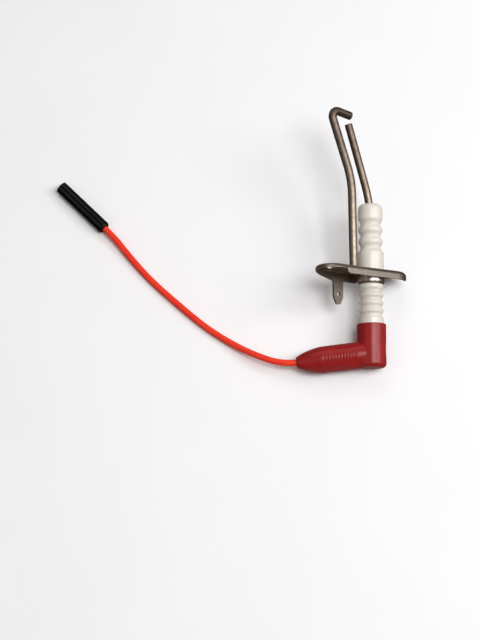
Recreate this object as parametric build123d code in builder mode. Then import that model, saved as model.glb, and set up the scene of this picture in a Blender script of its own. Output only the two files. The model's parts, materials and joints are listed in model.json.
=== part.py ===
from build123d import *
import os
from math import asin, atan2, cos, hypot, pi, radians, sin, sqrt, tan

os.makedirs("parts", exist_ok=True)

# Driving dimensions in millimetres and degrees.
# The probe axis runs up the ceramic from the boot to the electrodes; heights are
# measured along it from the top face of the bracket.

# Sheet-metal bracket: a long plate with one screw hole and turned-down lips
sheet = 0.8
screw_distance = 19.5
screw_hole = 4.6
lobe_margin = 3.7
nose_distance = 8.0
plate_margin = 2.5
near_lip = 3.3
far_lip = 4.2
lobe_lip = 1.5
rim_lip = 0.9
near_lip_start = -17.0
near_lip_end = 13.6
far_lip_end = -1.2
far_lip_hip = 3.1
lip_corner = 1.6
rim_round = 1.6
inner_round = 0.4

# Earth tab, a flat quick-connect blade on the far lip
tab_width = 4.8
tab_centre = -11.2
tab_tip = -13.0
tab_hole = 1.6
tab_hole_inset = 4.9
tab_taper = 1.4
tab_corner = 0.9
tab_root = 0.8
tab_shoulder = 1.2
shoulder_round = 1.2

# Ceramic insulator; the steps are how much its radius changes
ceramic_diameter = 9.2
base_step = 0.25
waist_step = 0.3
tail_step = 0.5
base_top = 7.2
ceramic_top = 25.4
upper_groove_first = 8.7
upper_groove_pitch = 4.5
upper_groove_count = 3
groove_depth = 0.85
upper_groove_round = 1.6
lower_groove_first = -7.8
lower_groove_pitch = 3.0
lower_groove_count = 4
lower_groove_round = 1.05
tail_shoulder = -21.2
tail_length = 5.3
top_round = 1.9
tail_round = 0.5
base_round = 0.2
shoulder_edge_round = 0.3
gasket_height = 0.5

# Retaining collar crimped round the waist under the plate
collar_wall = 0.45
collar_flange = 0.6
collar_bottom = -5.3
crimp_height = 0.9
crimp_depth = 0.22

# Electrodes
rod_diameter = 2.9
earth_rod_diameter = 3.1
rivet_lip = 0.6
rivet_gap = 0.95
rivet_head_height = 0.8
rivet_head_taper = 35
cement_ring = 0.95
cement_depth = 2.6
rod_stub = 3.0
tip_round = 0.35

# Terminal pin on the tail of the sensing electrode
pin_diameter = 4.0
pin_length = 7.5
pin_round = 1.0

# Right-angle silicone boot
boot_wall = 0.85
boot_overlap = 1.0
boot_floor = 1.4
boot_round = 1.5
arm_reach = 28.0
arm_rise = 5.2
arm_droop = 3.3
arm_radius = 4.95
nose_face_radius = 2.0
bore_rise = 1.0
channel_radius = 2.1
channel_end = 18.5

# Contact inside the boot
socket_gap = 1.1
socket_wall = 0.6
socket_floor = 0.55
slot_width = 0.6
slot_depth = 3.2
spring_wire = 0.5
spring_inset = 1.6
cavity_gap = 0.6
eyelet_thickness = 0.5
eyelet_ring = 0.8
eyelet_gap = 0.2
link_width = 2.2
strap_width = 1.6
crimp_start = 9.5
wire_crimp_length = 3.0
jacket_crimp_length = 2.6
crimp_wall = 0.4
crimp_gap = 0.4
crimp_inset = 0.2

# Lead
lead_diameter = 2.4
conductor_diameter = 1.2

# Push-on receptacle and its black sleeve
sleeve_wall = 0.45
sleeve_gap = 0.35
sleeve_length = 25.0
sleeve_round = 1.0
neck_length = 2.2
receptacle_inset = 1.2
receptacle_wall = 0.35
receptacle_length = 7.4
receptacle_neck = 0.9
blade_width = 2.8
blade_thickness = 0.5

# Fits
slip = 0.05
push_fit = 0.02
boot_fit = 0.08
slide_fit = 0.15
neck_fit = 0.35

# Sizes that follow from these
ceramic_radius = ceramic_diameter / 2
base_radius = ceramic_radius + base_step
waist_radius = ceramic_radius - waist_step
tail_radius = ceramic_radius - tail_step
ceramic_end = tail_shoulder - tail_length
plate_bore = base_radius + slip
nose_radius = plate_bore + plate_margin
lobe_radius = screw_hole / 2 + lobe_margin
collar_flange_radius = plate_bore + collar_flange
rod_radius = rod_diameter / 2
earth_radius = earth_rod_diameter / 2
rivet_radius = earth_radius + rivet_lip
earth_rod_distance = collar_flange_radius + rivet_gap + rivet_radius
cement_radius = rod_radius + cement_ring
pin_radius = pin_diameter / 2
rod_end = ceramic_end - rod_stub
pin_end = ceramic_end - pin_length
socket_top = ceramic_end - socket_gap
socket_bore = pin_radius + slip
socket_radius = socket_bore + socket_wall
socket_end = pin_end - slip - socket_floor
eyelet_bore = socket_radius + slip
eyelet_radius = eyelet_bore + eyelet_ring
cavity_radius = eyelet_radius + eyelet_gap
cavity_end = socket_end - cavity_gap
boot_radius = ceramic_radius + boot_wall
boot_rim = tail_shoulder + boot_overlap
boot_end = cavity_end - boot_floor
arm_height = boot_end + arm_rise
arm_nose_height = arm_height - arm_droop
bore_height = pin_end + bore_rise
lead_radius = lead_diameter / 2
conductor_radius = conductor_diameter / 2
crimp_radius = lead_radius + crimp_wall
sleeve_bore = crimp_radius + sleeve_gap
sleeve_radius = sleeve_bore + sleeve_wall

# The probe lies on a table: the nose of the bracket and the end of the boot touch it.
bracket_turn = 38.0
turn = radians(bracket_turn)
rim_inset = rim_round - sqrt(rim_round**2 - max(0, rim_round - rim_lip) ** 2)
rim_drop = nose_distance * sin(turn) + nose_radius - rim_inset
run_along = -boot_end - boot_round - rim_lip
rise = rim_drop - boot_radius + boot_round
tilt = atan2(rise, run_along) - asin(boot_round / hypot(rise, run_along))
probe_height = rim_lip * sin(tilt) + rim_drop * cos(tilt)

# The origin is under the middle of the probe and its boot.
probe_x = 7.27
probe_y = -9.97
probe_point = Vector(probe_x, probe_y, probe_height)
up_probe = Vector(0, cos(tilt), sin(tilt))
off_table = Vector(0, -sin(tilt), cos(tilt))
along_plate = Vector(cos(turn), sin(tilt) * sin(turn), -cos(tilt) * sin(turn))

seat = Plane(origin=probe_point, x_dir=along_plate, z_dir=up_probe)
profile = Plane(origin=probe_point, x_dir=seat.x_dir, z_dir=-seat.y_dir)
probe_axis = Axis(probe_point, up_probe)
boot_seat = Plane(origin=probe_point, x_dir=(-1, 0, 0), z_dir=up_probe)
boot_profile = Plane(origin=probe_point, x_dir=(-1, 0, 0), z_dir=-boot_seat.y_dir)


# Bracket

past = 1.0  # how far a cut runs past what it cuts
lip_depth = past - tab_tip
plate_span = screw_distance + lobe_radius + nose_distance + nose_radius
tab_left = tab_centre - tab_width / 2
tab_right = tab_centre + tab_width / 2
far_lip_start = tab_left - tab_shoulder

# Side views of what is left of the skirt, as (distance along the plate, height)
near_side = [
    (-plate_span, past),
    (plate_span, past),
    (plate_span, -rim_lip),
    (near_lip_end, -rim_lip),
    (near_lip_end, -near_lip),
    (near_lip_start, -near_lip),
    (near_lip_start, -lobe_lip),
    (-plate_span, -lobe_lip),
]
near_step = min(lip_corner, 0.9 * (near_lip - rim_lip))
near_corners = [0, 0, 0, 0, near_step, min(lip_corner, 0.9 * (near_lip - lobe_lip)), 0, 0]
far_side = [
    (-plate_span, past),
    (plate_span, past),
    (plate_span, -rim_lip),
    (far_lip_end, -rim_lip),
    (far_lip_end, -far_lip),
    (tab_right, -far_lip),
    (tab_right, tab_tip + 2 * tab_taper),
    (tab_right - tab_taper, tab_tip),
    (tab_left + tab_taper, tab_tip),
    (tab_left, tab_tip + 2 * tab_taper),
    (tab_left, -far_lip),
    (far_lip_start, -far_lip),
    (-screw_distance, -far_lip_hip),
    (-screw_distance - lobe_radius, -lobe_lip),
    (-plate_span, -lobe_lip),
]
far_corners = [0, 0, 0, 0, lip_corner, tab_root, *4 * [tab_corner], tab_root, shoulder_round, 0, 0, 0]

with BuildPart() as press_core:
    with BuildSketch(seat.offset(-sheet)):
        with Locations((-screw_distance, 0)):
            Circle(lobe_radius - sheet)
        with Locations((nose_distance, 0)):
            Circle(nose_radius - sheet)
        make_hull()
    extrude(amount=-lip_depth)
    fillet(press_core.edges().group_by(probe_axis)[-1], radius=inner_round)

with BuildPart() as mounting_bracket:
    with BuildSketch(seat):
        with Locations((-screw_distance, 0)):
            Circle(lobe_radius)
        with Locations((nose_distance, 0)):
            Circle(nose_radius)
        make_hull()
    extrude(amount=-lip_depth)
    fillet(mounting_bracket.edges().group_by(probe_axis)[-1], radius=rim_round)
    add(press_core.part, mode=Mode.SUBTRACT)
    for corners, radii, side in ((near_side, near_corners, 1), (far_side, far_corners, -1)):
        with BuildSketch(profile):
            with Locations((0, -sheet)):
                Rectangle(2 * plate_span, lip_depth + past, align=(Align.CENTER, Align.MAX))
            with BuildLine():
                FilletPolyline(*corners, radius=radii, close=True)
            make_face(mode=Mode.SUBTRACT)
        extrude(amount=side * 2 * nose_radius, mode=Mode.SUBTRACT)
    with BuildSketch(seat):
        Circle(plate_bore)
        with Locations((-screw_distance, 0)):
            Circle(screw_hole / 2)
        with Locations((-earth_rod_distance, 0)):
            Circle(earth_radius + push_fit)
    extrude(amount=-sheet, mode=Mode.SUBTRACT)
    with BuildSketch(profile):
        with Locations((tab_centre, -far_lip - tab_hole_inset)):
            Circle(tab_hole / 2)
    extrude(amount=-2 * nose_radius, mode=Mode.SUBTRACT)
mounting_bracket.part.label = "mounting_bracket"
export_step(mounting_bracket.part, "parts/mounting_bracket.step")


# Collar, cement and gasket that hold the ceramic in the bracket

collar_bore = ceramic_radius + slip
collar_radius = collar_bore + collar_wall
crimp_top = collar_bottom + crimp_height

with BuildPart() as retaining_collar:
    with BuildSketch(profile):
        with BuildLine():
            Polyline(
                (collar_bore, -sheet),
                (collar_flange_radius, -sheet),
                (collar_flange_radius, -sheet - collar_wall),
                (collar_radius, -sheet - collar_wall),
                (collar_radius, crimp_top),
                (collar_radius - crimp_depth, crimp_top - crimp_height / 3),
                (collar_radius - crimp_depth / 2, collar_bottom + crimp_height / 4),
                (collar_radius - 2 * crimp_depth, collar_bottom),
                (waist_radius + slip, collar_bottom),
                (waist_radius + slip, crimp_top - crimp_height / 3),
                (collar_bore, crimp_top),
                close=True,
            )
        make_face()
    revolve(axis=probe_axis)
retaining_collar.part.label = "retaining_collar"
export_step(retaining_collar.part, "parts/retaining_collar.step")

with BuildPart() as collar_cement:
    with BuildSketch(seat.offset(-sheet)):
        Circle(collar_bore - push_fit)
        Circle(waist_radius + push_fit, mode=Mode.SUBTRACT)
    extrude(amount=crimp_top + sheet)
collar_cement.part.label = "collar_cement"
export_step(collar_cement.part, "parts/collar_cement.step")

with BuildPart() as shoulder_gasket:
    with BuildSketch(seat.offset(-sheet)):
        Circle(base_radius)
        Circle(waist_radius + push_fit, mode=Mode.SUBTRACT)
    extrude(amount=gasket_height)
shoulder_gasket.part.label = "shoulder_gasket"
export_step(shoulder_gasket.part, "parts/shoulder_gasket.step")


# Ceramic insulator, one fired piece

shoulder = gasket_height - sheet
upper_grooves = [upper_groove_first + upper_groove_pitch * i for i in range(upper_groove_count)]
lower_grooves = [lower_groove_first - lower_groove_pitch * i for i in range(lower_groove_count)]

ceramic_rounds = [
    ((ceramic_radius, ceramic_top), top_round),
    ((ceramic_radius, base_top), base_round),
    ((ceramic_radius, tail_shoulder), shoulder_edge_round),
    ((tail_radius, ceramic_end), tail_round),
]

with BuildPart() as ceramic_insulator:
    with BuildSketch(profile) as ceramic_half:
        with BuildLine():
            Polyline(
                (rod_radius + slip, ceramic_top - cement_depth),
                (cement_radius, ceramic_top - cement_depth),
                (cement_radius, ceramic_top),
                (ceramic_radius, ceramic_top),
                (ceramic_radius, base_top),
                (base_radius, base_top - base_step),
                (base_radius, shoulder),
                (waist_radius, shoulder),
                (waist_radius, collar_bottom - push_fit),
                (ceramic_radius, collar_bottom - push_fit),
                (ceramic_radius, tail_shoulder),
                (tail_radius, tail_shoulder),
                (tail_radius, ceramic_end),
                (cement_radius, ceramic_end),
                (cement_radius, ceramic_end + cement_depth),
                (rod_radius + slip, ceramic_end + cement_depth),
                close=True,
            )
        make_face()
        for corner, radius in ceramic_rounds:
            fillet(ceramic_half.vertices().sort_by_distance((*corner, 0))[0], radius=radius)
        reach = ceramic_radius - groove_depth
        with Locations(*[(reach + upper_groove_round, h) for h in upper_grooves]):
            Circle(upper_groove_round, mode=Mode.SUBTRACT)
        with Locations(*[(reach + lower_groove_round, h) for h in lower_grooves]):
            Circle(lower_groove_round, mode=Mode.SUBTRACT)
    revolve(axis=probe_axis)
ceramic_insulator.part.label = "ceramic_insulator"
export_step(ceramic_insulator.part, "parts/ceramic_insulator.step")


# Sensing electrode through the ceramic, cemented at both ends, with its terminal pin

electrode_path = [(0, rod_end), (0, ceramic_top - 2.4), (-1.35, ceramic_top + 4.1), (-10.6, 54.9)]
electrode_bends = [9.0, 40.0]

with BuildPart() as sensing_electrode:
    with BuildLine(profile):
        FilletPolyline(*electrode_path, radius=electrode_bends)
    with BuildSketch(seat.offset(rod_end)):
        Circle(rod_radius)
    sweep()
    fillet(sensing_electrode.faces().sort_by(probe_axis)[-1].edges(), radius=tip_round)
sensing_electrode.part.label = "sensing_electrode"
export_step(sensing_electrode.part, "parts/sensing_electrode.step")

for name, height in (("top_cement", ceramic_top - cement_depth), ("tail_cement", ceramic_end)):
    with BuildPart() as cement:
        with BuildSketch(seat.offset(height)):
            Circle(cement_radius)
        extrude(amount=cement_depth)
        add(sensing_electrode.part, mode=Mode.SUBTRACT)
    cement.part.label = name
    export_step(cement.part, f"parts/{name}.step")

with BuildPart() as terminal_pin:
    with BuildSketch(profile) as pin_half:
        with BuildLine():
            Polyline(
                (rod_radius + push_fit, ceramic_end),
                (pin_radius, ceramic_end),
                (pin_radius, pin_end),
                (0, pin_end),
                (0, rod_end - push_fit),
                (rod_radius + push_fit, rod_end - push_fit),
                close=True,
            )
        make_face()
        fillet(pin_half.vertices().sort_by_distance((pin_radius, pin_end, 0))[0], radius=pin_round)
    revolve(axis=probe_axis)
terminal_pin.part.label = "terminal_pin"
export_step(terminal_pin.part, "parts/terminal_pin.step")


# Earth electrode: a hooked rod riveted into the bracket

earth_path = [
    (-earth_rod_distance, -sheet),
    (-earth_rod_distance, 3.0),
    (-9.14, 33.5),
    (-19.7, 59.5),
    (-9.65, 58.2),
]
earth_bends = [60.0, 30.0, 2.4]

with BuildPart() as earth_electrode:
    with BuildLine(profile):
        FilletPolyline(*earth_path, radius=earth_bends)
    with BuildSketch(seat.offset(-sheet)):
        with Locations((-earth_rod_distance, 0)):
            Circle(earth_radius)
    sweep()
    with BuildSketch(seat.offset(-sheet)):
        with Locations((-earth_rod_distance, 0)):
            Circle(rivet_radius)
    extrude(amount=-rivet_head_height, taper=rivet_head_taper)
earth_electrode.part.label = "earth_electrode"
export_step(earth_electrode.part, "parts/earth_electrode.step")


# Silicone boot: a socket for the ceramic tail and a tapered arm for the lead

tail_bore = tail_radius + boot_fit
rim_bore = ceramic_radius + boot_fit

arm_start = boot_profile.from_local_coords((0, arm_height))
arm_tip = boot_profile.from_local_coords((arm_reach, arm_nose_height))
arm_along = (arm_tip - arm_start).normalized()
arm_plane = Plane(origin=arm_start, x_dir=arm_along, z_dir=boot_profile.z_dir)
arm_length = (arm_tip - arm_start).length

bore_start = boot_profile.from_local_coords((0, bore_height))
bore_along = (arm_tip - bore_start).normalized()
bore_plane = Plane(origin=bore_start, x_dir=boot_seat.y_dir, z_dir=bore_along)
bore_length = (arm_tip - bore_start).length

with BuildPart() as silicone_boot:
    with BuildSketch(boot_seat.offset(boot_end)):
        Circle(boot_radius)
    extrude(amount=boot_rim - boot_end)
    fillet(silicone_boot.edges().group_by(probe_axis)[0], radius=boot_round)
    with BuildSketch(arm_plane):
        with BuildLine():
            arm_top = Spline(
                (0, arm_radius),
                (arm_length * 0.5, arm_radius - 0.1),
                (arm_length * 0.7, arm_radius - 0.45),
                (arm_length * 0.88, arm_radius - 1.55),
                (arm_length, nose_face_radius),
                tangents=((1, 0), (0.55, -1)),
            )
            Polyline((arm_length, nose_face_radius), (arm_length, 0), (0, 0), (0, arm_radius))
        make_face()
    revolve(axis=Axis(arm_start, arm_along))
    with BuildSketch(boot_seat.offset(boot_rim)):
        Circle(rim_bore)
    extrude(amount=tail_shoulder - slide_fit - boot_rim, mode=Mode.SUBTRACT)
    with BuildSketch(boot_seat.offset(boot_rim)):
        Circle(tail_bore)
    extrude(amount=ceramic_end - slide_fit - boot_rim, mode=Mode.SUBTRACT)
    with BuildSketch(boot_seat.offset(cavity_end)):
        Circle(cavity_radius)
    extrude(amount=ceramic_end - slide_fit - cavity_end, mode=Mode.SUBTRACT)
    with BuildSketch(bore_plane):
        Circle(channel_radius)
    extrude(amount=channel_end, mode=Mode.SUBTRACT)
    with BuildSketch(bore_plane):
        Circle(lead_radius + push_fit)
    extrude(amount=arm_reach + 2 * past, mode=Mode.SUBTRACT)
silicone_boot.part.label = "silicone_boot"
export_step(silicone_boot.part, "parts/silicone_boot.step")


# Contact socket gripping the pin, with its spring ring

spring_height = socket_top - spring_inset

with BuildPart() as contact_socket:
    with BuildSketch(seat.offset(socket_end)):
        Circle(socket_radius)
    extrude(amount=socket_top - socket_end)
    with BuildSketch(seat.offset(socket_top)):
        Circle(socket_bore)
    extrude(amount=pin_end - slip - socket_top, mode=Mode.SUBTRACT)
    with BuildSketch(profile):
        with Locations((socket_radius, spring_height)):
            Circle(spring_wire / 2)
    revolve(axis=probe_axis, mode=Mode.SUBTRACT)
    with BuildSketch(seat.offset(socket_top)):
        Rectangle(3 * socket_radius, slot_width)
        Rectangle(slot_width, 3 * socket_radius)
    extrude(amount=-slot_depth, mode=Mode.SUBTRACT)
contact_socket.part.label = "contact_socket"
export_step(contact_socket.part, "parts/contact_socket.step")

with BuildPart() as contact_spring:
    with BuildSketch(profile):
        with Locations((socket_radius + push_fit, spring_height)):
            Circle(spring_wire / 2 - push_fit)
    revolve(axis=probe_axis, revolution_arc=330)
contact_spring.part.label = "contact_spring"
export_step(contact_spring.part, "parts/contact_spring.step")


# Crimp terminal: an eyelet round the socket and a barrel on the lead

wire_crimp_end = crimp_start + wire_crimp_length
jacket_start = wire_crimp_end + crimp_gap
jacket_crimp_start = jacket_start + crimp_inset
jacket_crimp_end = jacket_crimp_start + jacket_crimp_length
strap_bite = 0.15
strap_top = conductor_radius + crimp_wall - strap_bite
strap_thickness = lead_radius + strap_bite - strap_top
strap_depth = -strap_top - strap_thickness / 2
strap_overlap = 0.5
strap_length = crimp_gap + crimp_inset + 2 * strap_overlap

with BuildPart() as crimp_terminal:
    with BuildSketch(boot_seat.offset(bore_height - eyelet_thickness / 2)):
        Circle(eyelet_radius)
    extrude(amount=eyelet_thickness)
    with BuildSketch(bore_plane):
        Rectangle(link_width, eyelet_thickness)
    extrude(amount=crimp_start + past)
    with BuildSketch(bore_plane.offset(crimp_start)):
        Circle(conductor_radius + crimp_wall)
    extrude(amount=wire_crimp_length)
    with BuildSketch(bore_plane.offset(jacket_crimp_start)):
        Circle(crimp_radius)
    extrude(amount=jacket_crimp_length)
    with BuildSketch(bore_plane.offset(wire_crimp_end - strap_overlap)):
        with Locations((0, strap_depth)):
            Rectangle(strap_width, strap_thickness)
    extrude(amount=strap_length)
    with BuildSketch(bore_plane.offset(crimp_start)):
        Circle(conductor_radius + push_fit)
    extrude(amount=jacket_crimp_end, mode=Mode.SUBTRACT)
    with BuildSketch(bore_plane.offset(jacket_start)):
        Circle(lead_radius + push_fit)
    extrude(amount=jacket_crimp_end, mode=Mode.SUBTRACT)
    with BuildSketch(boot_seat.offset(bore_height - 2 * past)):
        Circle(eyelet_bore)
    extrude(amount=4 * past, mode=Mode.SUBTRACT)
crimp_terminal.part.label = "crimp_terminal"
export_step(crimp_terminal.part, "parts/crimp_terminal.step")


# Lead: its free route from the boot to the sleeve, then straight stubs into both

exit_run = 5.5
lead_route = [
    arm_tip,
    arm_tip + bore_along * exit_run,
    Vector(-34.5, -41.30, 4.1),
    Vector(-44.5, -35.60, 1.6),
    Vector(-55.2, -28.40, 1.25),
    Vector(-66.6, -18.30, 1.25),
    Vector(-76.2, -9.30, 1.25),
    Vector(-84.0, -0.20, 1.5),
    Vector(-89.8, 7.30, 2.4),
    Vector(-93.7, 11.20, 2.4),
]


def bend_radii(route):
    """Largest tangent arcs that the runs on both sides of each point allow."""
    radii = []
    for before, point, after in zip(route, route[1:], route[2:]):
        arriving, leaving = point - before, after - point
        half_turn = radians(arriving.get_angle(leaving)) / 2
        radii.append(0.45 * min(arriving.length, leaving.length) / tan(half_turn))
    return radii


lead_bends = bend_radii(lead_route)
runs = [(b - a).length for a, b in zip(lead_route, lead_route[1:])]
print("lead runs", [round(run, 1) for run in runs])
print("lead radii", [round(radius, 1) for radius in lead_bends])

sleeve_along = (lead_route[-1] - lead_route[-2]).normalized()
sleeve_start = lead_route[-1]
sleeve_side = Vector(0, 0, 1).cross(sleeve_along)
sleeve_plane = Plane(origin=sleeve_start, x_dir=sleeve_side, z_dir=sleeve_along)

mouth = sleeve_length - receptacle_inset
box_start = mouth - receptacle_length
far_wire_end = box_start - receptacle_neck
far_wire_start = far_wire_end - wire_crimp_length
far_jacket_end = far_wire_start - crimp_gap
far_crimp_start = far_jacket_end - crimp_inset - jacket_crimp_length

jacket_bore = conductor_radius + push_fit
boot_stub = bore_length - jacket_start
print("free lead length", round(sum(runs), 1), "mm along its points")

with BuildPart() as lead_jacket:
    with BuildLine() as lead_line:
        FilletPolyline(*lead_route, radius=lead_bends)
    with BuildSketch(bore_plane.offset(bore_length)):
        Circle(lead_radius)
        Circle(jacket_bore, mode=Mode.SUBTRACT)
    sweep()
    with BuildSketch(bore_plane.offset(bore_length)):
        Circle(lead_radius)
        Circle(jacket_bore, mode=Mode.SUBTRACT)
    extrude(amount=-boot_stub)
    with BuildSketch(sleeve_plane):
        Circle(lead_radius)
        Circle(jacket_bore, mode=Mode.SUBTRACT)
    extrude(amount=far_jacket_end)
lead_jacket.part.label = "lead_jacket"
export_step(lead_jacket.part, "parts/lead_jacket.step")

line_length = sum(edge.length for edge in lead_line.edges())
section = pi * (lead_radius**2 - jacket_bore**2)
expected = section * (line_length + boot_stub + far_jacket_end)
print("jacket volume", round(lead_jacket.part.volume, 2), "expected", round(expected, 2))

with BuildPart() as lead_conductor:
    with BuildLine():
        FilletPolyline(*lead_route, radius=lead_bends)
    with BuildSketch(bore_plane.offset(bore_length)):
        Circle(conductor_radius)
    sweep()
    with BuildSketch(bore_plane.offset(bore_length)):
        Circle(conductor_radius)
    extrude(amount=crimp_start + crimp_inset - bore_length)
    with BuildSketch(sleeve_plane):
        Circle(conductor_radius)
    extrude(amount=far_wire_end)
lead_conductor.part.label = "lead_conductor"
export_step(lead_conductor.part, "parts/lead_conductor.step")


# Push-on receptacle on the far end, inside a black slip-on sleeve

neck_bore = lead_radius + neck_fit
slot_wide = blade_width + 2 * slip
slot_high = blade_thickness + slide_fit
box_width = slot_wide + 2 * receptacle_wall
box_height = slot_high + 2 * receptacle_wall
box_floor = 0.6
seam_width = 1.0

with BuildPart() as receptacle:
    with BuildSketch(sleeve_plane.offset(box_start)):
        RectangleRounded(box_width, box_height, radius=box_height / 3)
    extrude(amount=receptacle_length)
    with BuildSketch(sleeve_plane.offset(box_start + box_floor)):
        Rectangle(slot_wide, slot_high)
        Rectangle(seam_width, box_height, align=(Align.CENTER, Align.MIN))
    extrude(amount=receptacle_length, mode=Mode.SUBTRACT)
    with BuildSketch(sleeve_plane.offset(far_wire_start)):
        Circle(conductor_radius + crimp_wall)
    extrude(amount=wire_crimp_length)
    with BuildSketch(sleeve_plane.offset(far_wire_end - strap_overlap)):
        Rectangle(strap_width, 2 * receptacle_wall)
    extrude(amount=receptacle_neck + 2 * strap_overlap)
    with BuildSketch(sleeve_plane.offset(far_crimp_start)):
        Circle(crimp_radius)
    extrude(amount=jacket_crimp_length)
    with BuildSketch(sleeve_plane.offset(far_jacket_end - crimp_inset - strap_overlap)):
        with Locations((0, strap_depth)):
            Rectangle(strap_width, strap_thickness)
    extrude(amount=strap_length)
    with BuildSketch(sleeve_plane):
        Circle(conductor_radius + push_fit)
    extrude(amount=far_wire_end + push_fit, mode=Mode.SUBTRACT)
    with BuildSketch(sleeve_plane):
        Circle(lead_radius + push_fit)
    extrude(amount=far_jacket_end, mode=Mode.SUBTRACT)
receptacle.part.label = "receptacle"
export_step(receptacle.part, "parts/receptacle.step")

with BuildPart() as terminal_sleeve:
    with BuildSketch(sleeve_plane):
        Circle(sleeve_radius)
    extrude(amount=sleeve_length)
    fillet(terminal_sleeve.edges().group_by(Axis(sleeve_start, sleeve_along))[0], radius=sleeve_round)
    with BuildSketch(sleeve_plane.offset(neck_length)):
        Circle(sleeve_bore)
    extrude(amount=sleeve_length, mode=Mode.SUBTRACT)
    with BuildSketch(sleeve_plane):
        Circle(neck_bore)
    extrude(amount=sleeve_length, mode=Mode.SUBTRACT)
terminal_sleeve.part.label = "terminal_sleeve"
export_step(terminal_sleeve.part, "parts/terminal_sleeve.step")
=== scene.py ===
import json
from math import asin, atan2, cos, pi, radians, sin

import bmesh
import bpy
import numpy as np
from mathutils import Matrix, Vector


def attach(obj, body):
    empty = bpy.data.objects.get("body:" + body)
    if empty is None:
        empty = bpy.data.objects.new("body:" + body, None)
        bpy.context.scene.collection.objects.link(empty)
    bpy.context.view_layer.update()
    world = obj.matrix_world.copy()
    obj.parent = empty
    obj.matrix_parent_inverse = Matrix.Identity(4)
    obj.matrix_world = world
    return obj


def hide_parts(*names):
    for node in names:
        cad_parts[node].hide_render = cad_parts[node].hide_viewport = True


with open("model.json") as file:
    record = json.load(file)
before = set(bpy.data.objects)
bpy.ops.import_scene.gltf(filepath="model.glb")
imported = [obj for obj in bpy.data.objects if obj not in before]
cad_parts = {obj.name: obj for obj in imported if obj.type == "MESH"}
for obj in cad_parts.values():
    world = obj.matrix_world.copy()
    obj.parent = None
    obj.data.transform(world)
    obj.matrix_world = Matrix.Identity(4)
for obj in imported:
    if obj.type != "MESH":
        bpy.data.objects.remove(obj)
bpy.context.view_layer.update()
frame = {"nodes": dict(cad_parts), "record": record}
mm = 0.001                        # shapes are worked out in millimetres, meshes are in metres

# Where the probe lies: a point on its axis level with the bracket's top face, and the
# directions up its axis, off the table and towards the lead
probe = {"point": (7.27, -9.97, 12.11074), "tilt": 11.06108}
tilt = radians(probe["tilt"])
origin = np.array(probe["point"])
upProbe = np.array([0.0, cos(tilt), sin(tilt)])
offTable = np.array([0.0, -sin(tilt), cos(tilt)])
towardsLead = np.array([-1.0, 0.0, 0.0])


# Camera: looks down on the table, nearly square to the probe's axis

camera = {
    "distance": 620, "lean": 8.5, "across": -49.05, "up": -18.4,    # place, in mm and degrees
    "frameHeight": 240, "sensor": 36,                               # height seen, in mm
}


def placeCamera():
    angle = tilt + radians(camera["lean"])
    back = np.array([0.0, -sin(angle), cos(angle)])
    upFrame = np.array([0.0, cos(angle), sin(angle)])
    right = np.array([1.0, 0.0, 0.0])
    place = origin + right * camera["across"] + upFrame * camera["up"] + back * camera["distance"]
    data = bpy.data.cameras.new("camera")
    data.sensor_fit = "VERTICAL"
    data.sensor_height = camera["sensor"]
    data.lens = data.sensor_height * camera["distance"] / camera["frameHeight"]
    data.clip_start = 0.01
    data.clip_end = 20
    held = bpy.data.objects.new("camera", data)
    turned = Matrix(np.stack([right, upFrame, back], axis=1).tolist()).to_4x4()
    held.matrix_world = Matrix.Translation(Vector(place * mm)) @ turned
    bpy.context.scene.collection.objects.link(held)
    bpy.context.scene.camera = held


placeCamera()
print("camera placed")


# Small tools for materials

def toLinear(hexColour):
    # each sRGB channel below 0.04045 is divided by 12.92, the rest go through the 2.4 power
    channels = np.array([int(hexColour[i:i + 2], 16) / 255 for i in (1, 3, 5)])
    linear = np.where(channels <= 0.04045, channels / 12.92, ((channels + 0.055) / 1.055) ** 2.4)
    return (*linear.tolist(), 1.0)


def addNode(tree, kind, inputs=None, **settings):
    # inputs maps a socket to a value, or to another node's output to link from
    node = tree.nodes.new("ShaderNode" + kind)
    for name, value in settings.items():
        setattr(node, name, value)
    for key, value in (inputs or {}).items():
        if isinstance(value, bpy.types.NodeSocket):
            tree.links.new(value, node.inputs[key])
        else:
            node.inputs[key].default_value = value
    return node


def startMaterial(name, **sockets):
    # a material with its shader; what is the same all over is set on the shader's own sockets
    material = bpy.data.materials.new(name)
    material.use_nodes = True
    tree = material.node_tree
    tree.nodes.clear()
    shader = addNode(tree, "BsdfPrincipled")
    for key, value in sockets.items():
        shader.inputs[key.replace("_", " ")].default_value = value
    addNode(tree, "OutputMaterial", {"Surface": shader.outputs[0]})
    return material, tree, shader


def places(tree, scale=(1, 1, 1), turn=(0, 0, 0)):
    # Object coordinates in millimetres, turned and stretched
    coordinates = addNode(tree, "TexCoord")
    size = [1000 * s for s in scale]
    return addNode(tree, "Mapping", {"Vector": coordinates.outputs["Object"],
                                     "Scale": size, "Rotation": turn}).outputs[0]


def noise(tree, vector, scale, detail=3, roughness=0.5):
    # scale counts the patches in a millimetre
    return addNode(tree, "TexNoise", {"Vector": vector, "Scale": scale, "Detail": detail,
                                      "Roughness": roughness}).outputs[0]


def ramp(tree, factor, stops, numbers=False):
    # colours or numbers at places from 0 to 1
    node = addNode(tree, "ValToRGB", {0: factor})
    elements = node.color_ramp.elements
    while len(elements) < len(stops):
        elements.new(0.5)
    for element, (place, value) in zip(elements, stops):
        element.position = place
        element.color = (value, value, value, 1) if numbers else toLinear(value)
    return node.outputs[0]


def bump(tree, shader, height, distance):
    # distance is the relief's depth in millimetres
    node = addNode(tree, "Bump", {"Height": height, "Distance": distance * mm, "Strength": 1.0})
    tree.links.new(node.outputs[0], shader.inputs["Normal"])


def shadeBy(tree, shader, pattern, colours, roughness):
    # the pattern's low and high parts get their own colours and roughness
    tree.links.new(ramp(tree, pattern, colours), shader.inputs["Base Color"])
    tree.links.new(ramp(tree, pattern, roughness, True), shader.inputs["Roughness"])


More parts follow.
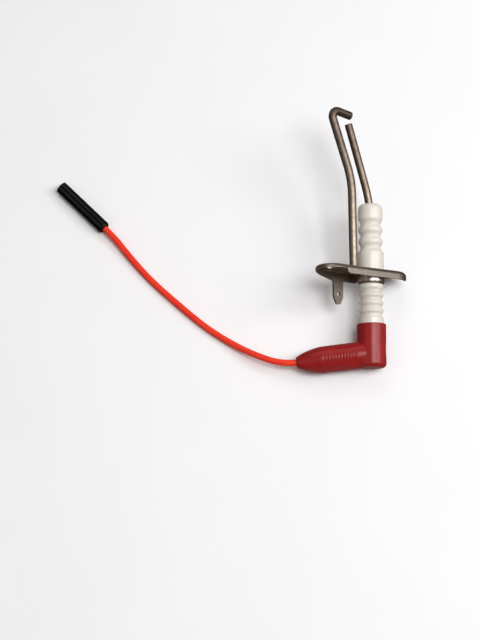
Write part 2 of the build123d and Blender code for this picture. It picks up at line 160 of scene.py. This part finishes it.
# Materials

alongProbe = (-tilt, 0, 0)        # turns a pattern so that its second axis runs up the probe


def pressedStainless(name, dark, light, roughness):
    # sheet stainless steel as it comes from the press: rolling lines along the sheet draw
    # the highlights out, and handling leaves faint cloudy patches
    material, tree, shader = startMaterial(name, Metallic=1.0)
    lines = noise(tree, places(tree, (0.05, 1, 1)), 4.0, 4)         # lines about 0.25 mm apart
    clouds = noise(tree, places(tree), 0.35, 4, 0.6)                # patches about 3 mm across
    mixed = addNode(tree, "Mix", {0: 0.45, 2: clouds, 3: lines}, data_type="FLOAT").outputs[0]
    shadeBy(tree, shader, mixed, [(0.3, dark), (0.7, light)],
            [(0.3, roughness + 0.1), (0.7, roughness - 0.06)])
    bump(tree, shader, lines, 0.006)
    return material


def drawnStainless(name):
    # thin deep-drawn stainless steel: brighter than the plate, with faint draw marks down
    # its wall that spread the highlight a little
    material, tree, shader = startMaterial(name, Metallic=1.0)
    marks = noise(tree, places(tree, (1, 0.06, 1), alongProbe), 5.0, 3)     # marks 0.2 mm apart
    shadeBy(tree, shader, marks, [(0.3, "#aea398"), (0.7, "#cfc5ba")], [(0.3, 0.36), (0.7, 0.26)])
    bump(tree, shader, marks, 0.004)
    return material


def heatedWire(name):
    # heat-resisting alloy wire that has been hot: the brown-grey oxide is patchy and is
    # darker towards the tips, so it shines less there
    material, tree, shader = startMaterial(name, Metallic=1.0)
    where = places(tree, turn=alongProbe)
    patches = noise(tree, where, 0.5, 5, 0.65)                      # patches 2 mm across
    marks = noise(tree, places(tree, (1, 0.08, 1), alongProbe), 6.0, 3)
    height = addNode(tree, "SeparateXYZ", {0: where}).outputs[1]
    heat = addNode(tree, "MapRange", {0: height, 1: 10.0, 2: 46.0}).outputs[0]     # from, to
    amount = addNode(tree, "Math", {0: heat, 1: 0.45}, operation="MULTIPLY").outputs[0]
    oxide = addNode(tree, "Math", {0: patches, 1: amount}, operation="ADD").outputs[0]
    shadeBy(tree, shader, oxide, [(0.3, "#a3978b"), (0.6, "#8f8174"), (0.95, "#6d6056")],
            [(0.3, 0.42), (0.9, 0.5)])
    bump(tree, shader, marks, 0.008)
    return material


def glazedSteatite(name):
    # fired steatite with a thin clear glaze: warm white, smooth and wet-looking, with faint
    # cloudiness under the glaze
    material, tree, shader = startMaterial(
        name, Roughness=0.36, IOR=1.5, Coat_Weight=0.2, Coat_Roughness=0.12,
        Subsurface_Weight=0.12, Subsurface_Scale=0.0012)
    shader.inputs["Subsurface Radius"].default_value = (1.0, 0.85, 0.7)
    clouds = noise(tree, places(tree), 0.3, 4, 0.6)                 # clouds 3 mm across
    colour = ramp(tree, clouds, [(0.3, "#d8d4cb"), (0.7, "#dfdbd3")])
    tree.links.new(colour, shader.inputs["Base Color"])
    waves = noise(tree, places(tree), 0.9, 2)                       # glaze waves 1 mm long
    bump(tree, shader, waves, 0.012)
    return material


def mouldedSilicone(name, deep, light, roughness, grain, depth, shine=0.5):
    # moulded silicone rubber: soft satin skin with a fine even grain from the mould, and a
    # little light let in just under the surface; extruded vinyl is the same but smoother
    material, tree, shader = startMaterial(
        name, IOR=1.41, Subsurface_Weight=0.1, Subsurface_Scale=0.0008, Specular_IOR_Level=shine)
    shader.inputs["Subsurface Radius"].default_value = (1.0, 0.3, 0.25)
    grains = noise(tree, places(tree), grain, 4, 0.6)
    clouds = noise(tree, places(tree), 0.25, 3, 0.5)                # clouds 4 mm across
    tree.links.new(ramp(tree, clouds, [(0.3, deep), (0.7, light)]), shader.inputs["Base Color"])
    tree.links.new(ramp(tree, grains, [(0.3, roughness + 0.06), (0.7, roughness - 0.05)], True),
                   shader.inputs["Roughness"])
    bump(tree, shader, grains, depth)
    return material


def plainMetal(name, dark, light, roughness):
    # turned, drawn or plated metal that shows only when the boot or the sleeve is pulled
    # back: bright, with faint marks half a millimetre apart
    material, tree, shader = startMaterial(name, Metallic=1.0)
    marks = noise(tree, places(tree), 2.0, 4)
    shadeBy(tree, shader, marks, [(0.3, dark), (0.7, light)],
            [(0.3, roughness + 0.08), (0.7, roughness - 0.05)])
    bump(tree, shader, marks, 0.004)
    return material


def dryPowder(name, dark, light, depth):
    # set refractory cement or pressed fibre: dull, dry and granular
    material, tree, shader = startMaterial(name, Roughness=0.9, IOR=1.5)
    grains = noise(tree, places(tree), 5.0, 5, 0.7)                 # grit 0.2 mm across
    tree.links.new(ramp(tree, grains, [(0.3, dark), (0.7, light)]), shader.inputs["Base Color"])
    bump(tree, shader, grains, depth)
    return material


finishes = {
    "bracket_steel": pressedStainless("pressed_stainless", "#8f857b", "#aca298", 0.36),
    "collar_steel": drawnStainless("drawn_stainless"),
    "rod_steel": heatedWire("heated_wire"),
    "fired_ceramic": glazedSteatite("glazed_steatite"),
    "cement": dryPowder("refractory_cement", "#a9a498", "#c9c5ba", 0.05),
    "gasket_fibre": dryPowder("pressed_fibre", "#8a8478", "#a9a297", 0.03),
    "pin_brass": plainMetal("turned_brass", "#a88a4a", "#cdb06a", 0.22),
    "contact_brass": plainMetal("stamped_brass", "#b0924f", "#d6ba74", 0.25),
    "spring_steel": plainMetal("spring_wire", "#8f8f90", "#b9b9ba", 0.25),
    "boot_silicone": mouldedSilicone("moulded_silicone", "#8b1213", "#981818", 0.34, 4.0, 0.008),
    "lead_silicone": mouldedSilicone("extruded_silicone", "#e6301a", "#ee3a22", 0.27, 3.0,
                                     0.004),
    "tinned_copper": plainMetal("tinned_copper", "#a8785a", "#c99a78", 0.28),
    "tin_plate": plainMetal("tin_plate", "#b3b1ab", "#d2d0ca", 0.24),
    "sleeve_vinyl": mouldedSilicone("black_vinyl", "#030303", "#060607", 0.1, 2.0, 0.001,
                                    shine=0.3),
}
print("materials made:", len(finishes))

# every CAD piece wears its slot's material; some are given finer shapes below
for row in frame["record"]["subparts"]:
    node = frame["nodes"][row["node"]]
    node.data.materials.clear()
    node.data.materials.append(finishes[row["material_slot"]])


# Meshes from grids

def skin(name, grid, startPole=None, endPole=None, lengths=None):
    # grid[row, column] is a surface closed round its columns; a pole closes an end row with a
    # fan. UV runs once round the columns and by length along the rows. The winding is turned
    # if the volume, the sum of each face's corners' triple product, comes out negative.
    rows, columns = grid.shape[:2]
    index = np.arange(rows * columns).reshape(rows, columns)
    after = np.roll(index, -1, axis=1)
    points = grid.reshape(-1, 3)
    faces = np.stack([index[:-1], after[:-1], after[1:], index[1:]], -1).reshape(-1, 4).tolist()
    column = np.arange(columns)
    along = np.arange(rows) * mm if lengths is None else np.asarray(lengths)
    left = np.broadcast_to(column / columns, (rows - 1, columns))
    right = left + 1 / columns
    low = np.broadcast_to(along[:-1, None], (rows - 1, columns))
    high = np.broadcast_to(along[1:, None], (rows - 1, columns))
    corners = ((left, low), (right, low), (right, high), (left, high))
    uv = np.stack([np.stack(pair, -1) for pair in corners], -2).reshape(-1, 2)
    ends = ((startPole, index[0][::-1], along[0]), (endPole, index[-1], along[-1]))
    for pole, edge, height in ends:
        if pole is not None:
            tip = np.full(columns, len(points))
            points = np.vstack([points, np.asarray(pole, float)[None]])
            faces += np.stack([edge, np.roll(edge, -1), tip], -1).tolist()
            fan = np.stack([column, column + 1, column + 0.5], -1) / columns
            fan = np.stack([fan, np.full((columns, 3), height)], -1)
            uv = np.vstack([uv, fan.reshape(-1, 2)])
    first = [f[:3] for f in faces]
    second = [[f[2], f[3], f[0]] for f in faces if len(f) == 4]
    a, b, c = points[np.array(first + second)].transpose(1, 0, 2)
    volume = np.einsum("ij,ij->i", a, np.cross(b, c)).sum()
    mesh = bpy.data.meshes.new(name)
    mesh.from_pydata(points.tolist(), [], faces)
    layer = mesh.uv_layers.new(name="UVMap")
    layer.data.foreach_set("uv", uv.astype(np.float32).ravel())
    mesh.polygons.foreach_set("use_smooth", np.ones(len(faces), bool))
    if volume < 0:
        mesh.flip_normals()
    mesh.update()
    piece = bpy.data.objects.new(name, mesh)
    bpy.context.scene.collection.objects.link(piece)
    return piece


def finish(piece, body, slot, *nodes):
    # the piece's material, the body it moves with and the CAD nodes it stands for
    piece.data.materials.append(finishes[slot])
    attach(piece, body)
    if nodes:
        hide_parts(*nodes)
    print("made", piece.name, "with", len(piece.data.polygons), "faces")
    return piece


def ring(name, grid):
    # a skin whose profile closes on itself, as a tube's does: the first row comes again at the
    # end and its points are joined to the first ones
    piece = skin(name, np.concatenate([grid, grid[:1]]) * mm)
    held = bmesh.new()
    held.from_mesh(piece.data)
    bmesh.ops.remove_doubles(held, verts=held.verts, dist=1e-7)
    held.to_mesh(piece.data)
    held.free()
    return piece


def ringed(path, radius, columns):
    # circles carried along a path: each ring's side direction is the one before it with the
    # part along the new tangent taken out, so the rings do not twist
    path = np.asarray(path, float)
    tangents = np.gradient(path, axis=0)
    tangents /= np.linalg.norm(tangents, axis=1, keepdims=True)
    side = np.cross(tangents[0], (0, 0, 1))
    sides = []
    for tangent in tangents:
        side = side - tangent * (side @ tangent)
        side = side / np.linalg.norm(side)
        sides.append(side)
    sides = np.array(sides)
    others = np.cross(tangents, sides)
    turn = np.linspace(0, 2 * pi, columns, endpoint=False)[None, :, None]
    rings = np.cos(turn) * sides[:, None] + np.sin(turn) * others[:, None]
    return path[:, None] + radius * rings, sides, others


# Ceramic: one fired piece turned round the probe's axis, with the rod's bore through it

ceramic = {
    "radius": 4.6, "base": 4.85, "waist": 4.3, "tail": 4.1, "bore": 1.5, "recess": 2.4,
    "top": 25.4, "baseTop": 7.2, "seat": -0.3, "crimp": -5.32, "shoulder": -21.2, "end": -26.5,
    "recessDepth": 2.6, "topRound": 2.1, "shoulderRound": 0.3, "endRound": 0.5, "edge": 0.12,
    "break": 0.05, "rowStep": 0.1, "columns": 128,
    "upper": (8.7, 13.2, 17.7), "upperHalf": 2.1, "upperDepth": 0.92,
    "lower": (-7.8, -10.8, -13.8, -16.8), "lowerHalf": 1.42, "lowerDepth": 0.85,
    "lowerFrom": -5.6,
}


def grooved(heights, middles, half, depth):
    # each groove is half a cosine wave deep in its middle and level at its edges
    radius = np.full_like(heights, ceramic["radius"])
    for middle in middles:
        off = np.clip(np.abs(heights - middle) / half, 0, 1)
        radius = np.minimum(radius, ceramic["radius"] - depth * (0.5 + 0.5 * np.cos(pi * off)))
    return radius


def buildCeramic():
    # the profile as (radius, height) pairs, from the mouth of the bore down the outside and
    # back up through the bore; an inner corner is broken by a small chamfer
    c = ceramic
    quarter = np.linspace(0, pi / 2, 12)
    top, edge, small, step = c["topRound"], c["edge"], c["break"], c["rowStep"]
    radius, tail, waist, recess = c["radius"], c["tail"], c["waist"], c["recess"]
    seat, crimp, shoulder = c["seat"], c["crimp"], c["shoulder"]
    outer = [(recess, c["top"] - c["recessDepth"]), (recess, c["top"] - step),
             (recess + step, c["top"])]
    outer += [(radius - top + top * sin(q), c["top"] - top + top * cos(q)) for q in quarter]
    heights = np.arange(c["top"] - top - 2 * step, c["baseTop"], -step)
    outer += zip(grooved(heights, c["upper"], c["upperHalf"], c["upperDepth"]), heights)
    outer += [(c["base"] - edge + edge * sin(q), c["baseTop"] - step - edge + edge * cos(q))
              for q in quarter[::3]]
    outer += [(c["base"], h) for h in np.linspace(c["baseTop"] - 0.7, seat + small, 8)]
    outer += [(c["base"] - small, seat), (waist + small, seat), (waist, seat - small),
              (waist, crimp + small), (waist + small, crimp), (radius - step, crimp),
              (radius, crimp - step)]
    heights = np.arange(c["lowerFrom"], shoulder + 0.4, -step)
    outer += zip(grooved(heights, c["lower"], c["lowerHalf"], c["lowerDepth"]), heights)
    turned = c["shoulderRound"]
    outer += [(radius - turned + turned * cos(q), shoulder + turned - turned * sin(q))
              for q in quarter[::2]]
    end = c["endRound"]
    outer += [(tail + small, shoulder), (tail, shoulder - small),
              (tail, shoulder - 1.8), (tail, shoulder - 3.3)]
    outer += [(tail - end + end * cos(q), c["end"] + end - end * sin(q)) for q in quarter[::2]]
    boreEnd, boreTop = c["end"] + c["recessDepth"], c["top"] - c["recessDepth"]
    inner = [(recess + small, c["end"]), (recess, c["end"] + small), (recess, boreEnd),
             (c["bore"], boreEnd)]
    inner += [(c["bore"], h) for h in np.linspace(boreEnd + 0.9, boreTop - 0.9, 12)]
    inner += [(c["bore"], boreTop)]
    radius, height = np.array(outer + inner).T
    turn = np.linspace(0, 2 * pi, c["columns"], endpoint=False)
    spoke = np.cos(turn)[:, None] * -towardsLead + np.sin(turn)[:, None] * offTable
    grid = origin + height[:, None, None] * upProbe + radius[:, None, None] * spoke
    finish(ring("ceramic_glazed_body", grid), "probe", "fired_ceramic", "ceramic_insulator")


buildCeramic()


# Lead: its route, in metres, from the boot's nose to the sleeve

lead = {
    "diameter": 2.4, "columns": 32, "insideBoot": 15.15, "insideSleeve": 12.1,
    "strand": 0.19, "strands": 6, "strandRing": 0.4, "strandLay": 9.0, "strandColumns": 8,
    "bareInBoot": 3.2, "bareInSleeve": 3.4,
    "route": [
        (-0.02073, -0.04403, 0.00545), (-0.02622, -0.04435, 0.00539), (-0.03450, -0.04130, 0.00410),
        (-0.04450, -0.03560, 0.00160), (-0.05520, -0.02840, 0.00125), (-0.06660, -0.01830, 0.00125),
        (-0.07620, -0.00930, 0.00125), (-0.08400, -0.00020, 0.00150), (-0.08980, 0.00730, 0.00240),
        (-0.09370, 0.01120, 0.00240),
    ],
}
leadRoute = np.array(lead["route"])


def leadLine():
    # a smooth line whose control points are the route's own points
    data = bpy.data.curves.new("lead_line", "CURVE")
    data.dimensions = "3D"
    data.resolution_u = 24
    spline = data.splines.new("NURBS")
    spline.points.add(len(leadRoute) - 1)
    spline.points.foreach_set("co", np.c_[leadRoute, np.ones(len(leadRoute))].ravel())
    spline.order_u = 3
    spline.use_endpoint_u = True
    bare = bpy.data.objects.new("lead_line", data)
    mesh = bpy.data.meshes.new_from_object(bare)
    line = np.zeros(len(mesh.vertices) * 3)
    mesh.vertices.foreach_get("co", line)
    bpy.data.meshes.remove(mesh)
    bpy.data.objects.remove(bare)
    bpy.data.curves.remove(data)
    return line.reshape(-1, 3)


def buildLead():
    line = leadLine()
    into = leadRoute[0] - leadRoute[1]
    into /= np.linalg.norm(into)
    out = leadRoute[-1] - leadRoute[-2]
    out /= np.linalg.norm(out)
    root = leadRoute[0] + into * np.linspace(lead["insideBoot"], 1, 12)[:, None] * mm
    tail = leadRoute[-1] + out * np.linspace(1, lead["insideSleeve"], 10)[:, None] * mm
    path = np.vstack([root, line, tail])
    rings, *_ = ringed(path, lead["diameter"] / 2 * mm, lead["columns"])
    steps = np.concatenate([[0], np.cumsum(np.linalg.norm(np.diff(path, axis=0), axis=1))])
    jacket = skin("lead_jacket_silicone", rings, path[0], path[-1], steps)
    finish(jacket, "boot", "lead_silicone", "lead_jacket")

    # strands: a core and six round it; each follows the path at the ring's radius, turned by
    # the length so far over the lay
    ahead = path[0] + into * np.linspace(lead["bareInBoot"], 0.3, 8)[:, None] * mm
    behind = path[-1] + out * np.linspace(0.3, lead["bareInSleeve"], 8)[:, None] * mm
    wirePath = np.vstack([ahead, path[::2], behind])
    _, sides, others = ringed(wirePath, 1.0, lead["strandColumns"])
    far = np.concatenate([[0], np.cumsum(np.linalg.norm(np.diff(wirePath, axis=0), axis=1))])
    strands = []
    for i in range(lead["strands"] + 1):
        spread = 0 if i == lead["strands"] else lead["strandRing"] * mm
        turn = ((far / (lead["strandLay"] * mm) + i / lead["strands"]) * 2 * pi)[:, None]
        centre = wirePath + spread * (np.cos(turn) * sides + np.sin(turn) * others)
        rings, *_ = ringed(centre, lead["strand"] * mm, lead["strandColumns"])
        strands.append(skin("strand", rings, centre[0], centre[-1], far))
    wire = joined(strands, "lead_strands")
    finish(wire, "boot", "tinned_copper", "lead_conductor")
    return jacket, wire, path


def joined(pieces, name):
    # one mesh from several, with nothing moved
    with bpy.context.temp_override(active_object=pieces[0], selected_editable_objects=pieces):
        bpy.ops.object.join()
    pieces[0].name = name
    pieces[0].data.name = name
    return pieces[0]


jacket, wire, leadPath = buildLead()


# Boot: a socket and an arm melted together, one closed skin from inside the socket, over the
# rim, round the elbow, along the arm and into the nose

boot = {
    "radius": 5.45, "rim": -20.2, "end": -36.6, "endRound": 1.5, "rimRound": 0.4,
    "waist": 0.12, "waistHeight": -29.5, "waistSpread": 3.2,
    "arm": 5.05, "armFrom": (0.0, -31.35), "armTo": (28.0, -34.7), "armLoss": 0.12,
    "taperFrom": 0.67, "taperPower": 2.4, "noseRadius": 2.0, "noseRound": 0.45,
    "meltBelow": 0.35, "meltAbove": 0.8, "meltFrom": -30.5, "meltTo": -27.0,
    "boreFrom": (0.0, -33.0), "leadBore": 1.22, "boreDepth": 2.5,
    "boreMouth": ((0, 1.42), (0.02, 1.3), (0.1, 1.22)),
    "rimBore": 4.68, "tailBore": 4.18, "cavity": 3.7, "shoulder": -21.35, "tail": -26.65,
    "floor": -35.2, "mouthRound": 0.2, "break": 0.05,
    "pivot": (6.5, -26.0), "straightTo": 19.5, "columns": 256,
    "ribs": 11, "ribFirst": 6.0, "ribPitch": 1.15, "ribWidth": 0.24, "ribHeight": 0.36,
    "ribLength": 1.1, "ribSlant": 0.18, "ribMiddle": 0.5,
}
armFrom, armTo = np.array(boot["armFrom"]), np.array(boot["armTo"])
armLength = np.linalg.norm(armTo - armFrom)
armAlong = (armTo - armFrom) / armLength
armAcross = np.array([armAlong[1], -armAlong[0]])     # points away from the socket's mouth


def armRadius(s):
    # nearly straight for two thirds of the arm, then an ever steeper taper to the nose
    share, start = np.clip(s / armLength, 0, 1), boot["taperFrom"]
    body = boot["arm"] - boot["armLoss"] * np.clip(share / start, 0, 1) ** 2
    taper = np.clip((share - start) / (1 - start), 0, 1)
    return body - (body - boot["noseRadius"]) * (taper + taper ** boot["taperPower"]) / 2


def smoothStep(x, low, high):
    # 0 below low, 1 above high and level at both: 3 t squared less 2 t cubed
    t = np.clip((x - low) / (high - low), 0, 1)
    return t * t * (3 - 2 * t)


def alongArm(x, h):
    # how far along the arm's middle line, and how far across it
    fromX, fromH = x - armFrom[0], h - armFrom[1]
    return (fromX * armAlong[0] + fromH * armAlong[1],
            fromX * armAcross[0] + fromH * armAcross[1])


def bootField(x, h, d):
    # negative inside: the lesser of a rounded cylinder and the tapered arm, melted together
    # most in the inner corner and hardly at all underneath; x runs towards the lead, h up
    # the probe and d off the table
    rounding, top = boot["endRound"], boot["rim"] + 3
    waist = boot["waist"] * np.exp(-((h - boot["waistHeight"]) / boot["waistSpread"]) ** 2)
    middle, half = (top + boot["end"]) / 2, (top - boot["end"]) / 2
    out = np.hypot(x, d) - (boot["radius"] - waist - rounding)
    over = np.abs(h - middle) - (half - rounding)
    corner = np.hypot(np.maximum(out, 0), np.maximum(over, 0))
    socket = corner + np.minimum(np.maximum(out, over), 0) - rounding
    s, e = alongArm(x, h)
    arm = np.maximum(np.hypot(e, d) - armRadius(s), -s)
    more = (boot["meltAbove"] - boot["meltBelow"]) * smoothStep(h, boot["meltFrom"], boot["meltTo"])
    melt = boot["meltBelow"] + more
    share = np.clip(0.5 + 0.5 * (arm - socket) / melt, 0, 1)
    return arm * (1 - share) + socket * share - melt * share * (1 - share)


def bootRow(centre, outward, turn):
    # from a centre inside, out to where the field changes sign, by halving the span
    near, far = np.zeros_like(turn), np.full_like(turn, 18.0)
    for _ in range(36):
        half = (near + far) / 2
        x = centre[0] + half * np.cos(turn) * outward[0]
        h = centre[1] + half * np.cos(turn) * outward[1]
        inside = bootField(x, h, half * np.sin(turn)) < 0
        near, far = np.where(inside, half, near), np.where(inside, far, half)
    return near


def buildBoot():
    turn = np.linspace(0, 2 * pi, boot["columns"], endpoint=False)
    rows = []                     # each is (centre, outward, radius round the turn)
    left = np.array([-1.0, 0.0])

    def lathe(pairs):
        rows.extend((np.array([0.0, h]), left, np.full_like(turn, r)) for r, h in pairs)

    r, edge, mouth, small = (boot[k] for k in ("radius", "rimRound", "mouthRound", "break"))
    cavity, tailBore, rimBore = boot["cavity"], boot["tailBore"], boot["rimBore"]
    rim, shoulder, tail, floor = boot["rim"], boot["shoulder"], boot["tail"], boot["floor"]
    quarter = np.linspace(0, pi / 2, 7)
    inner = [(0.9, floor), (2.2, floor), (cavity - 0.1, floor), (cavity, floor + 0.1)]
    inner += [(cavity, h) for h in np.linspace(floor + 1.2, tail - small, 5)]
    inner += [(cavity + small, tail), (tailBore - small, tail), (tailBore, tail + small)]
    inner += [(tailBore, h) for h in np.linspace(-25, shoulder - small, 4)]
    inner += [(tailBore + small, shoulder), (rimBore - small, shoulder),
              (rimBore, shoulder + small), (rimBore, rim - 0.3)]
    inner += [(rimBore + mouth * (1 - cos(q)), rim - mouth * (1 - sin(q))) for q in quarter]
    inner += [(r - edge + edge * sin(q), rim - edge * (1 - cos(q))) for q in quarter]
    lathe(inner)

    def cast(centre, outward):
        rows.append((centre, outward, bootRow(centre, outward, turn)))

    pivot = np.array(boot["pivot"])
    for h in np.linspace(rim - edge - 0.2, pivot[1], 30)[:-1]:
        cast(np.array([0.0, h]), left)
    full = pi / 2 + atan2(armAlong[1], armAlong[0])
    reach = np.linspace(0, 20, 401)
    for angle in np.linspace(0, full, 72):        # round the elbow, from the pivot in its corner
        outward = np.array([-cos(angle), -sin(angle)])
        spots = pivot + reach[:, None] * outward
        inside = reach[bootField(spots[:, 0], spots[:, 1], np.zeros_like(reach)) < 0]
        cast(pivot + outward * (inside[0] + inside[-1]) / 2, outward)
    start = (pivot - armFrom) @ armAlong
    tip, straight = boot["noseRound"], boot["straightTo"]
    finer = np.linspace(straight, armLength - tip, 36)[1:]
    for s in np.r_[np.linspace(start, straight, 92)[1:], finer]:
        cast(armFrom + armAlong * s, armAcross)
    slope = armRadius(armLength - tip)
    for q in quarter[1:]:
        centre = armFrom + armAlong * (armLength - tip * (1 - sin(q)))
        rows.append((centre, armAcross, np.full_like(turn, slope - tip * (1 - cos(q)))))
    boreAlong = armTo - np.array(boot["boreFrom"])
    boreAlong /= np.linalg.norm(boreAlong)
    boreAcross = np.array([boreAlong[1], -boreAlong[0]])
    for depth, radius in (*boot["boreMouth"], (boot["boreDepth"], boot["leadBore"])):
        rows.append((armTo - boreAlong * depth, boreAcross, np.full_like(turn, radius)))

    centre = np.array([c for c, _, _ in rows])
    outward = np.array([o for _, o, _ in rows])
    radius = np.array([r for _, _, r in rows])
    x = centre[:, :1] + radius * np.cos(turn) * outward[:, :1]
    h = centre[:, 1:] + radius * np.cos(turn) * outward[:, 1:]
    d = radius * np.sin(turn)

    # grip ribs on the side that faces off the table: each is a short capsule; the skin rises
    # by a smooth step of the distance to its middle line
    s, e = alongArm(x, h)
    rise = np.zeros_like(x)
    low, high = boot["ribWidth"] * 0.4, boot["ribWidth"] * 1.5
    for i in range(boot["ribs"]):
        off = s - boot["ribFirst"] - i * boot["ribPitch"] - boot["ribSlant"] * e
        beyond = np.maximum(np.abs(e - boot["ribMiddle"]) - boot["ribLength"], 0)
        rib = boot["ribHeight"] * (1 - smoothStep(np.hypot(off, beyond), low, high))
        rise = np.maximum(rise, rib)
    outside = np.arange(len(rows))[:, None] > len(inner)
    d = d + np.where((d > 0) & outside, rise, 0)
    grid = origin + x[..., None] * towardsLead + h[..., None] * upProbe + d[..., None] * offTable
    poles = [np.array([0.0, floor]), armTo - boreAlong * boot["boreDepth"]]
    poles = [origin + p[0] * towardsLead + p[1] * upProbe for p in poles]
    piece = skin("boot_silicone_moulding", grid * mm, poles[0] * mm, poles[1] * mm)
    finish(piece, "boot", "boot_silicone", "silicone_boot")


buildBoot()


# Sleeve: a black tube whose closed end is drawn in round the lead and whose open end is cut

sleeve = {
    "radius": 2.4, "bore": 1.95, "length": 25.0, "neck": 2.2, "neckBore": 1.55,
    "endRound": 1.0, "cutRound": 0.22, "break": 0.05, "columns": 96,
    "cutLean": 0.16, "waves": 0.006, "wavePitch": 0.9,
}


def buildSleeve():
    r, bore, length, neck = (sleeve[k] for k in ("radius", "bore", "length", "neckBore"))
    edge, cut, small, depth = (sleeve[k] for k in ("endRound", "cutRound", "break", "neck"))
    quarter = np.linspace(0, pi / 2, 8)
    mouth = asin((neck + 0.06 - r + edge) / edge)     # where the drawn-in end meets the neck
    outer = [(r - edge + edge * sin(q), edge - edge * cos(q))
             for q in np.linspace(mouth, pi / 2, 8)]
    outer += [(r, h) for h in np.linspace(edge + 0.5, length - cut - 0.3, 40)]
    outer += [(r - cut + cut * cos(q), length - cut + cut * sin(q)) for q in quarter]
    inner = [(bore + 0.08, length), (bore, length - 0.08)]
    inner += [(bore, h) for h in np.linspace(length - 1, depth + 0.1, 12)]
    inner += [(bore - 0.1, depth), (neck + small, depth), (neck, depth - small),
              (neck, outer[0][1] + 0.06)]
    profile = np.array(outer + inner)
    along = leadRoute[-1] - leadRoute[-2]
    along /= np.linalg.norm(along)
    side = np.cross((0, 0, 1), along)
    other = np.cross(along, side)
    turn = np.linspace(0, 2 * pi, sleeve["columns"], endpoint=False)
    spoke = np.cos(turn)[:, None] * side + np.sin(turn)[:, None] * other
    height = profile[:, 1, None] * np.ones_like(turn)
    # the cut end is a little out of square, and the wall a little uneven along its length
    lean = sleeve["cutLean"] * (1 + np.cos(turn - 0.6))
    height = height - lean * smoothStep(height, length - 3, length)
    swell = 1 + np.sin(height * sleeve["wavePitch"] + 2 * turn)
    radius = profile[:, 0, None] * (1 - sleeve["waves"] * swell * (height > 1.5))
    grid = leadRoute[-1] / mm + height[..., None] * along + radius[..., None] * spoke
    finish(ring("terminal_sleeve_vinyl", grid), "sleeve", "sleeve_vinyl", "terminal_sleeve")


buildSleeve()


# Table, light and air

room = {
    "tableSide": 3.0,
    # name: place, size and power of each lamp, in metres and watts
    "panels": {
        "overhead": ((0.22, -0.12, 0.85), (0.3, 0.4), 4.3),
        "side": ((0.72, 0.05, 0.7), (0.5, 0.5), 4.5),
        "reflector": ((1.0, 0.1, 0.26), (0.5, 0.9), 0.6),
        "back": ((-0.2, 0.8, 0.8), (0.9, 0.5), 1.7),
        "fill": ((-0.7, -0.3, 0.7), (0.7, 0.7), 1.1),
    },
    "aim": (0, 0, 0.01),
}


def buildTable():
    # matt white card: no highlights, and barely a cloud in its white
    data = bpy.data.meshes.new("table")
    side = room["tableSide"]
    corners = [(-side, -side, 0), (side, -side, 0), (side, side, 0), (-side, side, 0)]
    data.from_pydata(corners, [], [(0, 1, 2, 3)])
    table = bpy.data.objects.new("table", data)
    bpy.context.scene.collection.objects.link(table)
    material, tree, shader = startMaterial("white_card", Roughness=0.85)
    fibre = noise(tree, places(tree), 0.02, 2)
    colour = ramp(tree, fibre, [(0.3, "#f1f2f5"), (0.7, "#f3f4f7")])
    tree.links.new(colour, shader.inputs["Base Color"])
    data.materials.append(material)
    table.visible_glossy = False      # the metals mirror the dim room, not the white card


def buildAir():
    # the room: dim and warm, and brighter in a band overhead from front to back
    world = bpy.data.worlds.new("studio")
    world.use_nodes = True
    bpy.context.scene.world = world
    tree = world.node_tree
    tree.nodes.clear()
    direction = addNode(tree, "TexCoord").outputs["Generated"]
    part = addNode(tree, "SeparateXYZ", {0: direction}).outputs
    aside = addNode(tree, "Math", {0: part[0]}, operation="ABSOLUTE").outputs[0]
    shade = ramp(tree, aside, [(0.0, "#8d857c"), (0.35, "#6f675f"), (0.75, "#463d37")])
    sky = addNode(tree, "Background", {"Color": shade, "Strength": 1.0})
    addNode(tree, "OutputWorld", {"Surface": sky.outputs[0]})


def hangPanels():
    for name, (place, size, power) in room["panels"].items():
        light = bpy.data.lights.new(name, "AREA")
        light.shape = "RECTANGLE"
        light.size, light.size_y = size
        light.energy = power
        held = bpy.data.objects.new(name, light)
        held.location = place
        back = Vector(place) - Vector(room["aim"])
        held.rotation_euler = back.to_track_quat("Z", "Y").to_euler()
        bpy.context.scene.collection.objects.link(held)


buildTable()
buildAir()
hangPanels()
bpy.context.scene.view_settings.view_transform = "Standard"
print("room made")
